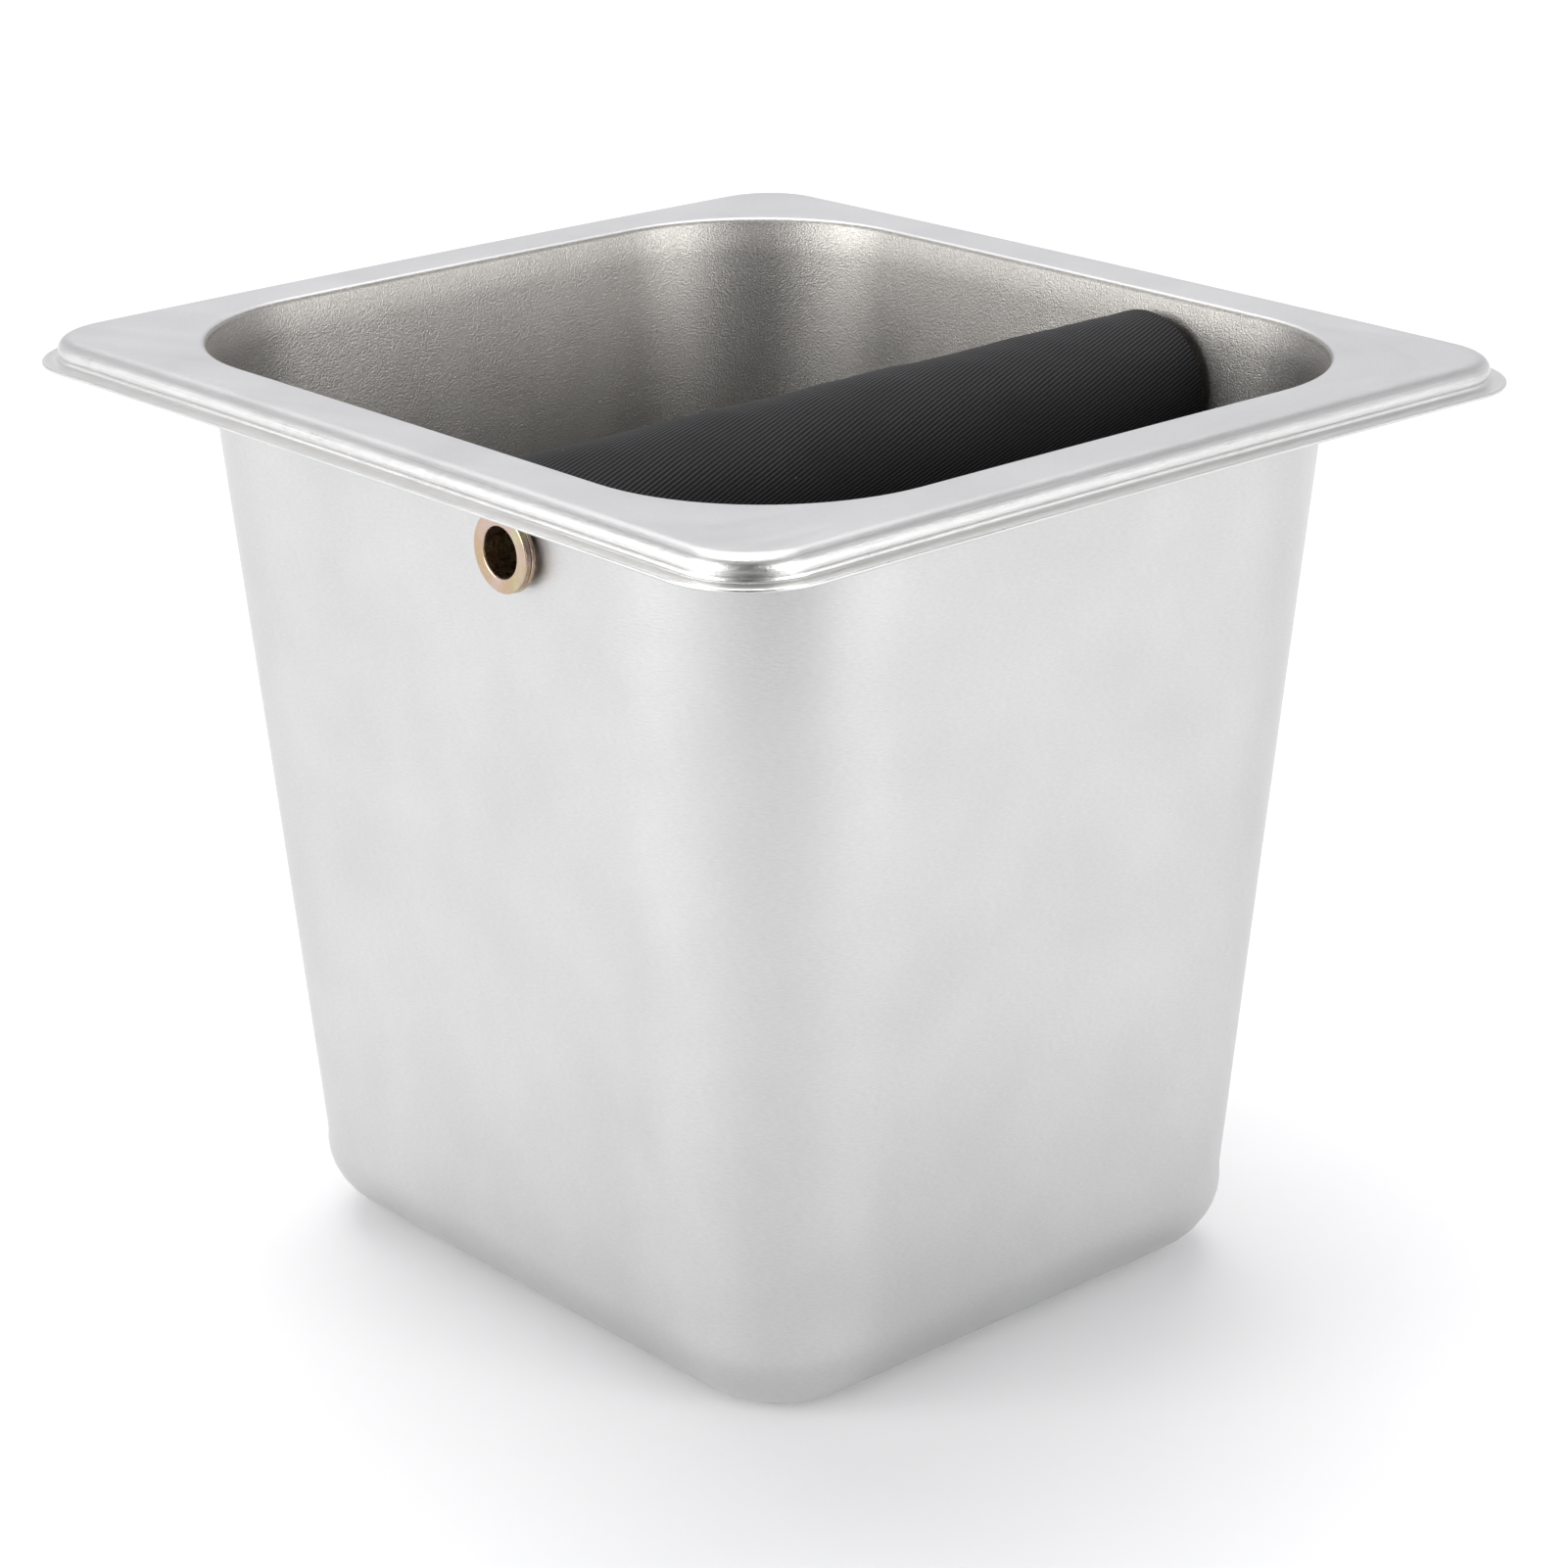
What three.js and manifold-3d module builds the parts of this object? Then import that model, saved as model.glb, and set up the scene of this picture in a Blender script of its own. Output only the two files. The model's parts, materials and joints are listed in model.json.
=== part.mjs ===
// Espresso knock box: a deep-drawn stainless steel pan with a rubber-sleeved knock bar across its mouth.
// Millimetres, +Z up. The origin is the centre of the pan's underside. +X runs along the knock bar,
// which spans the short side of the pan, and +Y runs along the long side.
import * as THREE from "three";
import { mergeVertices } from "three/addons/utils/BufferGeometryUtils.js";
import Module from "manifold-3d";

// Pan: overall size of the rolled lip, and the drawn sheet.
const LIP_WIDTH = 162;
const LIP_LENGTH = 176;
const PAN_HEIGHT = 150;
const SHEET = 0.6;

// Rim, from the lip inwards. An inset is measured from the lip's edge, square to the side.
const LIP_TOP_Z = 146.4;
const LIP_CORNER_R = 14.6;
const LIP_EDGE_R = SHEET / 2;
const SKIRT_INSET = 2.6;
const SKIRT_ROOT_R = 0.5;
const RIM_BEND_R = 2.5;
const MOUTH_BEND_R = 1.25;
const MOUTH_INSET = 12.9;

// Body: the outer wall tapers from the floor up to a reference height near the rim.
const FLOOR_WALL_INSET = 26.8;
const FLOOR_WALL_CORNER_R = 21.8;
const REFERENCE_Z = 140;
const REFERENCE_WALL_INSET = 14.7;
const REFERENCE_WALL_CORNER_R = 30.8;
const FLOOR_BEND_R = 16.2;

// Below the mouth the wall flares from its taper to this tilt, where the mouth bend takes over.
const FLARE_TILT = THREE.MathUtils.degToRad(14);

// How finely the pan is stepped: round each plan corner, the floor bend, and each bend of the rim.
const CORNER_STEPS = 8;
const FLOOR_BEND_STEPS = 5;
const FLARE_STEPS = 3;
const RIM_BEND_STEPS = 4;
const LIP_BEND_STEPS = 2;

// Knock bar: axis parallel to X, nearer to one long end of the pan.
const BAR_Y = -21.5;
const BAR_Z = 135.3;
const SLEEVE_OD = 25;
const SLEEVE_HALF_LENGTH = 63.9;
const SLEEVE_END_R = 0.4;
const CORE_OD = 16;
const CORE_ID = 12.4;
const CORE_HALF_LENGTH = 62.5;
const FIT_GAP = 0.15;

// Flanged bushes that carry the bar on the fixed axle.
const BUSH_FLANGE_OD = 15.4;
const BUSH_FLANGE_THICKNESS = 1.2;
const BUSH_LENGTH = 10;
const RUNNING_CLEARANCE = 0.09;

// Axle: one plated tube through both walls, with a flanged head outside each of them.
const AXLE_OD = 9;
const AXLE_BORE = 7.6;
const HEAD_OD = 12.1;
const HEAD_FACE_X = 68.4;
const HEAD_THICKNESS = 0.8;
const HEAD_BEVEL = 0.25;
const WASHER_OD = 12.2;
const WASHER_THICKNESS = 0.6;
const WASHER_GAP = 0.3;
const WALL_HOLE_CLEARANCE = 0.3;
const ROUND_SEGMENTS = 48;

const wasm = await Module();
wasm.setup();

const mix = (a, b, t) => a + (b - a) * t;
const wallTilt = Math.atan2(FLOOR_WALL_INSET - REFERENCE_WALL_INSET, REFERENCE_Z);
const wallInset = (z) => mix(FLOOR_WALL_INSET, REFERENCE_WALL_INSET, z / REFERENCE_Z);
const wallCornerR = (z) => mix(FLOOR_WALL_CORNER_R, REFERENCE_WALL_CORNER_R, z / REFERENCE_Z);

// One level of the pan's section: the inset from the lip, the height and the plan corner radius.
const level = (inset, z, cornerR) => ({ inset, z, cornerR });

// An arc in the section, from one angle to another in degrees, where 0 points inwards and 90 up.
// The corner radius blends from start to end along it.
function bend(centre, radius, from, to, steps, cornerFrom, cornerTo) {
  return Array.from({ length: steps + 1 }, (_, i) => {
    const angle = THREE.MathUtils.degToRad(mix(from, to, i / steps));
    return level(
      centre.inset + radius * Math.cos(angle),
      centre.z + radius * Math.sin(angle),
      mix(cornerFrom, cornerTo, i / steps),
    );
  });
}

// The long bend of the outer skin that touches the straight wall below it and the mouth bend above it.
function flareBend() {
  const mouthR = MOUTH_BEND_R - SHEET;
  const inset = MOUTH_INSET + mouthR * Math.cos(FLARE_TILT);
  const z = PAN_HEIGHT - MOUTH_BEND_R + mouthR * Math.sin(FLARE_TILT);
  const gap = (wallInset(z) - inset) * Math.cos(wallTilt);
  const radius = gap / (1 - Math.cos(FLARE_TILT - wallTilt));
  return { radius, inset: inset - radius * Math.cos(FLARE_TILT), z: z - radius * Math.sin(FLARE_TILT) };
}

// Floor bend, wall, flare and mouth bend of the skin `depth` inside the outer surface, listed upwards.
function bodySkin(depth) {
  const floorR = FLOOR_BEND_R - depth;
  const mouthR = MOUTH_BEND_R - SHEET + depth;
  const tilt = THREE.MathUtils.radToDeg(wallTilt);
  const flareTilt = THREE.MathUtils.radToDeg(FLARE_TILT);
  const touchZ = FLOOR_BEND_R * (1 - Math.sin(wallTilt));
  const floorBend = {
    inset: wallInset(touchZ) + FLOOR_BEND_R * Math.cos(wallTilt),
    z: FLOOR_BEND_R,
  };
  const flare = flareBend();
  const mouthBend = { inset: MOUTH_INSET, z: PAN_HEIGHT - MOUTH_BEND_R };
  const wallR = wallCornerR(touchZ) - depth;
  const topR = wallCornerR(flare.z + flare.radius * Math.sin(wallTilt)) - depth;
  const mouthCornerR = topR + MOUTH_BEND_R * (1 - Math.cos(FLARE_TILT));
  return [
    ...bend(floorBend, floorR, 270, 180 + tilt, FLOOR_BEND_STEPS, wallR - floorR, wallR),
    ...bend(flare, flare.radius + depth, tilt, flareTilt, FLARE_STEPS, topR, mouthCornerR),
    ...bend(mouthBend, mouthR, flareTilt, 90, RIM_BEND_STEPS, mouthCornerR, mouthCornerR + mouthR).slice(1),
  ];
}

// The pan's whole section: up the outside, round the rim, and down the inside to the floor.
function panLevels() {
  const rimBend = { inset: SKIRT_INSET + RIM_BEND_R, z: PAN_HEIGHT - RIM_BEND_R };
  const rimCornerR = LIP_CORNER_R - SKIRT_INSET;
  const bendCornerR = rimCornerR - RIM_BEND_R;
  const lipEdge = { inset: LIP_EDGE_R, z: LIP_TOP_Z - LIP_EDGE_R };
  const lipRoot = { inset: SKIRT_INSET - SKIRT_ROOT_R, z: LIP_TOP_Z + SKIRT_ROOT_R };
  const lipFlatCornerR = LIP_CORNER_R - lipEdge.inset;
  const rootCornerR = LIP_CORNER_R - lipRoot.inset;
  return [
    ...bodySkin(0),
    ...bend(rimBend, RIM_BEND_R - SHEET, 90, 180, RIM_BEND_STEPS, bendCornerR, rimCornerR - SHEET),
    ...bend(lipRoot, SKIRT_ROOT_R + SHEET, 360, 270, LIP_BEND_STEPS, rimCornerR - SHEET, rootCornerR),
    ...bend(lipEdge, LIP_EDGE_R, 270, 180, LIP_BEND_STEPS, lipFlatCornerR, LIP_CORNER_R),
    ...bend(lipEdge, LIP_EDGE_R, 180, 90, LIP_BEND_STEPS, LIP_CORNER_R, lipFlatCornerR).slice(1),
    ...bend(lipRoot, SKIRT_ROOT_R, 270, 360, LIP_BEND_STEPS, rootCornerR, rimCornerR),
    ...bend(rimBend, RIM_BEND_R, 180, 90, RIM_BEND_STEPS, rimCornerR, bendCornerR),
    ...bodySkin(SHEET).reverse(),
  ];
}

// A rounded rectangle at one level, as points with the same count at every level. Quarter arcs are
// listed anticlockwise from the +X +Y corner.
function ring({ inset, z, cornerR }) {
  const x = LIP_WIDTH / 2 - inset - cornerR;
  const y = LIP_LENGTH / 2 - inset - cornerR;
  const centres = [[x, y], [-x, y], [-x, -y], [x, -y]];
  return centres.flatMap(([cx, cy], quarter) => {
    const start = (quarter * Math.PI) / 2;
    const arc = new THREE.EllipseCurve(cx, cy, cornerR, cornerR, start, start + Math.PI / 2);
    return arc.getPoints(CORNER_STEPS).map((p) => new THREE.Vector3(p.x, p.y, z));
  });
}

// Skin stretched over a stack of rings, closed at both ends by a fan to the middle.
function loft(levels) {
  const rings = levels.map(ring);
  const count = rings[0].length;
  const points = rings.flat();
  const first = points.push(new THREE.Vector3(0, 0, levels[0].z)) - 1;
  const last = points.push(new THREE.Vector3(0, 0, levels[levels.length - 1].z)) - 1;
  const faces = [];
  for (let i = 0; i < count; i++) {
    const j = (i + 1) % count;
    faces.push(first, j, i);
    for (let row = 0; row < rings.length - 1; row++) {
      const low = row * count;
      const high = low + count;
      faces.push(low + i, low + j, high + j, low + i, high + j, high + i);
    }
    const top = (rings.length - 1) * count;
    faces.push(top + i, top + j, last);
  }
  return new THREE.BufferGeometry().setFromPoints(points).setIndex(faces);
}

// A turned piece whose section is given as [radius, x] pairs, closed on itself, laid along X.
function turned(section) {
  const outline = [...section, section[0]].map(([r, x]) => new THREE.Vector2(r, x));
  return new THREE.LatheGeometry(outline, ROUND_SEGMENTS).rotateZ(-Math.PI / 2);
}

function solid(geometry) {
  const bare = geometry.clone();
  bare.deleteAttribute("normal");
  bare.deleteAttribute("uv");
  const merged = mergeVertices(bare);
  return new wasm.Manifold(
    new wasm.Mesh({
      numProp: 3,
      vertProperties: merged.attributes.position.array,
      triVerts: new Uint32Array(merged.index.array),
    }),
  );
}

function geometryOf(manifold) {
  const mesh = manifold.getMesh();
  return new THREE.BufferGeometry()
    .setAttribute("position", new THREE.BufferAttribute(new Float32Array(mesh.vertProperties), 3))
    .setIndex(new THREE.BufferAttribute(new Uint32Array(mesh.triVerts), 1));
}

const steel = new THREE.MeshStandardMaterial({ color: 0xc9cac9, roughness: 0.42, metalness: 1 });
const rubber = new THREE.MeshStandardMaterial({ color: 0x1b1b1c, roughness: 0.85, metalness: 0 });
const zinc = new THREE.MeshStandardMaterial({ color: 0xc2a468, roughness: 0.3, metalness: 1 });
const pipeSteel = new THREE.MeshStandardMaterial({ color: 0xa5a7a8, roughness: 0.5, metalness: 1 });
const nylon = new THREE.MeshStandardMaterial({ color: 0xe4e1d8, roughness: 0.55, metalness: 0 });

function part(name, geometry, material) {
  const mesh = new THREE.Mesh(geometry, material);
  mesh.name = name;
  return mesh;
}

// The pan with its two axle holes.
function panGeometry() {
  const holeR = AXLE_OD / 2 + WALL_HOLE_CLEARANCE;
  const drill = new THREE.CylinderGeometry(holeR, holeR, LIP_WIDTH + SHEET, ROUND_SEGMENTS)
    .rotateZ(Math.PI / 2)
    .translate(0, BAR_Y, BAR_Z);
  return geometryOf(solid(loft(panLevels())).subtract(solid(drill)));
}

// Axle tube with a head at each end: bore, bevelled outer face, head rim, and back to the shank.
function axleSection() {
  const bore = AXLE_BORE / 2;
  const shank = AXLE_OD / 2;
  const head = HEAD_OD / 2;
  const headBack = HEAD_FACE_X - HEAD_THICKNESS;
  const rightEnd = [
    [shank, headBack],
    [head, headBack],
    [head, HEAD_FACE_X - HEAD_BEVEL],
    [head - HEAD_BEVEL, HEAD_FACE_X],
    [bore + HEAD_BEVEL, HEAD_FACE_X],
    [bore, HEAD_FACE_X - HEAD_BEVEL],
  ];
  const leftEnd = rightEnd.map(([r, x]) => [r, -x]).reverse();
  return [...rightEnd, ...leftEnd];
}

// A plain ring between two radii, running from one x to another.
const ringSection = (innerR, outerR, fromX, toX) => [
  [innerR, toX],
  [innerR, fromX],
  [outerR, fromX],
  [outerR, toX],
];

const pipeSection = () =>
  ringSection(CORE_ID / 2, CORE_OD / 2, -CORE_HALF_LENGTH, CORE_HALF_LENGTH);

// Flanged bush for the +X end of the bar: the spigot sits in the pipe, the flange against its end.
function bushSection() {
  const bore = AXLE_OD / 2 + RUNNING_CLEARANCE;
  const spigot = CORE_ID / 2 - FIT_GAP;
  const flangeInner = CORE_HALF_LENGTH + FIT_GAP;
  return [
    [bore, flangeInner + BUSH_FLANGE_THICKNESS],
    [bore, flangeInner - BUSH_LENGTH],
    [spigot, flangeInner - BUSH_LENGTH],
    [spigot, flangeInner],
    [BUSH_FLANGE_OD / 2, flangeInner],
    [BUSH_FLANGE_OD / 2, flangeInner + BUSH_FLANGE_THICKNESS],
  ];
}

// Rubber sleeve with rounded outer ends.
function sleeveSection() {
  const inner = CORE_OD / 2 + FIT_GAP;
  const outer = SLEEVE_OD / 2;
  const half = SLEEVE_HALF_LENGTH;
  const middle = SLEEVE_END_R * (1 - Math.SQRT1_2);
  return [
    [inner, half],
    [inner, -half],
    [outer - SLEEVE_END_R, -half],
    [outer - middle, middle - half],
    [outer, SLEEVE_END_R - half],
    [outer, half - SLEEVE_END_R],
    [outer - middle, half - middle],
    [outer - SLEEVE_END_R, half],
  ];
}

const knockBox = new THREE.Group();
knockBox.add(part("pan", panGeometry(), steel));

// Everything on the bar's axis is made about X = 0 and lifted to its place as one group.
const barGroup = new THREE.Group();
barGroup.position.set(0, BAR_Y, BAR_Z);
barGroup.add(part("axle_tube", turned(axleSection()), zinc));
barGroup.add(part("core_pipe", turned(pipeSection()), pipeSteel));
barGroup.add(part("rubber_sleeve", turned(sleeveSection()), rubber));

const washerOuterX = HEAD_FACE_X - HEAD_THICKNESS - WASHER_GAP;
const washerBoreR = AXLE_OD / 2 + FIT_GAP;
for (const [side, halfTurn] of [["left", Math.PI], ["right", 0]]) {
  const washer = turned(
    ringSection(washerBoreR, WASHER_OD / 2, washerOuterX - WASHER_THICKNESS, washerOuterX),
  );
  barGroup.add(part("bush_" + side, turned(bushSection()).rotateZ(halfTurn), nylon));
  barGroup.add(part("washer_" + side, washer.rotateZ(halfTurn), zinc));
}
knockBox.add(barGroup);

export default knockBox;
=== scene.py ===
import json
import math

import bmesh
import bpy
import numpy as np
from mathutils import Matrix, Vector, noise


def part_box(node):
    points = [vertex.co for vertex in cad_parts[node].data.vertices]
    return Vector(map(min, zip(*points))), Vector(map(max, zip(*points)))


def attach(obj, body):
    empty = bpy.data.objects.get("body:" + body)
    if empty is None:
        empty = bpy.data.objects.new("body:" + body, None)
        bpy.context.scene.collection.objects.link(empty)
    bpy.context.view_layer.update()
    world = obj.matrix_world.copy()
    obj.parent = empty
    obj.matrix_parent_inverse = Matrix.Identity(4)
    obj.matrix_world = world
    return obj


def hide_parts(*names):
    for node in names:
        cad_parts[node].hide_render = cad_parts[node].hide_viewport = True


# The looks of an espresso knock box: a drawn steel pan and the rubber knock bar across its mouth.
# Lengths are in metres, +Z up, +X along the knock bar. MM turns millimetres into metres.
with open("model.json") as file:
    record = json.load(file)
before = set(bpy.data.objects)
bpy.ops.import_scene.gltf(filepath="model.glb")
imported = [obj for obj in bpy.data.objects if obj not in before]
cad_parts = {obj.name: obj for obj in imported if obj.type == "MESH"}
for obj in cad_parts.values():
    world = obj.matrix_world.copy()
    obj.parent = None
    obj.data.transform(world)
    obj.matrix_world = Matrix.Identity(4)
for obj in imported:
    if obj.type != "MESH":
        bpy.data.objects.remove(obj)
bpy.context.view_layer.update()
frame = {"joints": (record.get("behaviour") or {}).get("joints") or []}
MM = 0.001


def outer_radius(node):
    """Radius of a CAD node that is round about the bar's axis."""
    low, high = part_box(node)
    return (high.z - low.z) / 2


# Places and sizes that the frame gives.
HALF_X, HALF_Y, RIM_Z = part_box("pan")[1]
BAR_AXIS = Vector(frame["joints"][0]["pos_m"])
SLEEVE_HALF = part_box("rubber_sleeve")[1].x
SLEEVE_R = outer_radius("rubber_sleeve")

# Pan section: an inset is measured from the lip's edge, square to the side.
SHEET = 0.6 * MM
LIP_TOP_Z = 146.4 * MM
LIP_CORNER_R = 14.6 * MM
SKIRT_INSET = 2.6 * MM
SKIRT_ROOT_R = 0.5 * MM
RIM_BEND_R = 2.5 * MM
MOUTH_BEND_R = 1.25 * MM
MOUTH_INSET = 12.9 * MM
FLARE_TILT = math.radians(14)
FLOOR_WALL_INSET = 26.8 * MM
FLOOR_WALL_CORNER_R = 21.8 * MM
REFERENCE_Z = 140 * MM
REFERENCE_WALL_INSET = 14.7 * MM
REFERENCE_WALL_CORNER_R = 30.8 * MM
WALL_TILT = math.atan2(FLOOR_WALL_INSET - REFERENCE_WALL_INSET, REFERENCE_Z)
FLOOR_BEND_R = 16.2 * MM

# What forming leaves on the sheet: flange corners that droop, a crowned floor, walls that bow inwards
# between two heights and clear of the corners, and a groove round the skirt.
CORNER_DROOP = 0.45 * MM
DROOP_STARTS_Z, DROOP_FULL_Z = 120 * MM, 145 * MM
FLOOR_CROWN = 0.5 * MM
WALL_BOW = 0.12 * MM
BOW_STARTS_Z, BOW_FULL_Z = 10 * MM, 45 * MM
BOW_FADES_Z, BOW_ENDS_Z = 110 * MM, 140 * MM
BOW_SIDE_FROM, BOW_SIDE_FULL = 0.55, 0.95
FORMING_GROOVE_Z = 147.1 * MM
FORMING_GROOVE_DEPTH = 0.1 * MM
FORMING_GROOVE_HALF_WIDTH = 0.09 * MM

# Fixed axle with its washers.
AXLE_R = 4.5 * MM
AXLE_BORE_R = 3.8 * MM
AXLE_HOLE_GAP = 0.3 * MM
HEAD_SEAT_GAP = 0.04 * MM
HEAD_ROOT = 0.2 * MM
HEAD_BORE_EDGE_R = 0.3 * MM
HEAD_EDGE_R = 0.25 * MM
WASHER_BORE_GAP = 0.15 * MM
WASHER_EDGE_R = 0.15 * MM

# Knock bar.
CORE_BORE_R = 6.2 * MM
CORE_EDGE_R = 0.3 * MM
BUSH_BORE_GAP = 0.09 * MM
BUSH_SPIGOT_R = 6.05 * MM
BUSH_FLANGE = 1.2 * MM
BUSH_EDGE_R = 0.2 * MM
SLEEVE_BORE_R = 8.15 * MM
SLEEVE_BORE_EDGE_R = 0.3 * MM
SLEEVE_END_R = 0.4 * MM
SLEEVE_LUMP = 0.28 * MM


def mix(a, b, t):
    return a + (b - a) * t


def smooth(edge_a, edge_b, value):
    """0 before edge_a, 1 after edge_b, and a soft step between them."""
    t = np.clip((value - edge_a) / (edge_b - edge_a), 0, 1)
    return t * t * (3 - 2 * t)


def new_object(name, data):
    made = bpy.data.objects.new(name, data)
    bpy.context.scene.collection.objects.link(made)
    return made


# ---------------------------------------------------------------- camera, floor and lights

CAMERA_AZIMUTH = math.radians(-40.40)
CAMERA_ELEVATION = math.radians(20.36)
CAMERA_ROLL = math.radians(-0.89)
CAMERA_DISTANCE = 661.7 * MM
CAMERA_TARGET = Vector((0, 0, RIM_Z / 2))
CAMERA_ASIDE = 9.55 * MM
CAMERA_UP = -2.08 * MM
CAMERA_LENS_MM = 94.65
CAMERA_SENSOR_MM = 36
CAMERA_SHIFT_X = 0.0503
CAMERA_NEAR, CAMERA_FAR = 0.01, 100


def direction(azimuth, elevation):
    """The way from the object to something seen at these angles; azimuth 0 is on the -Y side."""
    return Vector((
        math.sin(azimuth) * math.cos(elevation),
        -math.cos(azimuth) * math.cos(elevation),
        math.sin(elevation),
    ))


def make_camera():
    back = direction(CAMERA_AZIMUTH, CAMERA_ELEVATION)
    right = Vector((0, 0, 1)).cross(back).normalized()
    up = back.cross(right)
    turn = Matrix.Rotation(CAMERA_ROLL, 3, back)
    right, up = turn @ right, turn @ up
    place = Matrix((right, up, back)).transposed().to_4x4()
    place.translation = CAMERA_TARGET + back * CAMERA_DISTANCE - right * CAMERA_ASIDE - up * CAMERA_UP
    data = bpy.data.cameras.new("photo_camera")
    data.sensor_width = CAMERA_SENSOR_MM
    data.lens = CAMERA_LENS_MM
    data.shift_x = CAMERA_SHIFT_X
    data.clip_start, data.clip_end = CAMERA_NEAR, CAMERA_FAR
    camera = new_object("photo_camera", data)
    camera.matrix_world = place
    bpy.context.scene.camera = camera


def stage_card(name, corners, material):
    """A flat sheet that isn't part of the object."""
    mesh = bpy.data.meshes.new(name)
    mesh.from_pydata(corners, [], [(0, 1, 2, 3)])
    mesh.materials.append(material)
    card = new_object(name, mesh)
    return card


FLOOR_HALF = 6.0


def make_floor():
    half = FLOOR_HALF
    corners = [(-half, -half, 0), (half, -half, 0), (half, half, 0), (-half, half, 0)]
    stage_card("floor", corners, floor_material())


FLAG_AZIMUTH = math.radians(-39)
FLAG_DISTANCE = 310 * MM
FLAG_HALF_WIDTH = 120 * MM
FLAG_LOW_Z = 55 * MM
FLAG_HIGH_Z = 400 * MM


def make_flag():
    """A dark card in front of the near corner, which only reflections see, as a photographer's flag."""
    away = direction(FLAG_AZIMUTH, 0)
    half = Vector((away.y, -away.x, 0)) * FLAG_HALF_WIDTH
    foot = away * FLAG_DISTANCE
    low, high = Vector((0, 0, FLAG_LOW_Z)), Vector((0, 0, FLAG_HIGH_Z))
    corners = [foot - half + low, foot + half + low, foot + half + high, foot - half + high]
    flag = stage_card("flag", corners, flag_material())
    flag.visible_camera = False
    flag.visible_diffuse = False
    flag.visible_shadow = False


HORIZON_LIGHT = (0.86, 0.86, 0.89, 1)
ZENITH_LIGHT = (0.42, 0.42, 0.43, 1)
WALLS_END, CEILING_STARTS = 0.25, 0.9


def make_world():
    """A soft room: bright walls that fade into a dimmer ceiling between two heights on a unit sphere."""
    world = bpy.data.worlds.new("studio")
    world.use_nodes = True
    nodes, links = world.node_tree.nodes, world.node_tree.links
    way = nodes.new("ShaderNodeTexCoord")
    split = nodes.new("ShaderNodeSeparateXYZ")
    ramp = nodes.new("ShaderNodeMapRange")
    ramp.interpolation_type = "SMOOTHSTEP"
    ramp.inputs["From Min"].default_value = WALLS_END
    ramp.inputs["From Max"].default_value = CEILING_STARTS
    colors = nodes.new("ShaderNodeMix")
    colors.data_type = "RGBA"
    colors.inputs[6].default_value = HORIZON_LIGHT
    colors.inputs[7].default_value = ZENITH_LIGHT
    links.new(way.outputs["Generated"], split.inputs[0])
    links.new(split.outputs["Z"], ramp.inputs["Value"])
    links.new(ramp.outputs["Result"], colors.inputs[0])
    links.new(colors.outputs[2], nodes["Background"].inputs["Color"])
    bpy.context.scene.world = world


def softbox(name, spread, strength, azimuth, elevation):
    """Even light from a far, round softbox, as wide as spread seen from the object. Angles in degrees."""
    data = bpy.data.lights.new(name, "SUN")
    data.angle = math.radians(spread)
    data.energy = strength
    away = direction(math.radians(azimuth), math.radians(elevation))
    light = new_object(name, data)
    light.location = CAMERA_TARGET + away
    light.rotation_mode = "QUATERNION"
    light.rotation_quaternion = away.to_track_quat("Z", "Y")


def make_lights():
    make_world()
    make_flag()
    softbox("left_softbox", spread=42, strength=2.6, azimuth=-106, elevation=10)
    softbox("right_softbox", spread=38, strength=2.0, azimuth=9, elevation=10)
    softbox("top_softbox", spread=50, strength=1.75, azimuth=150, elevation=68)


# ---------------------------------------------------------------- material nodes


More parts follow.
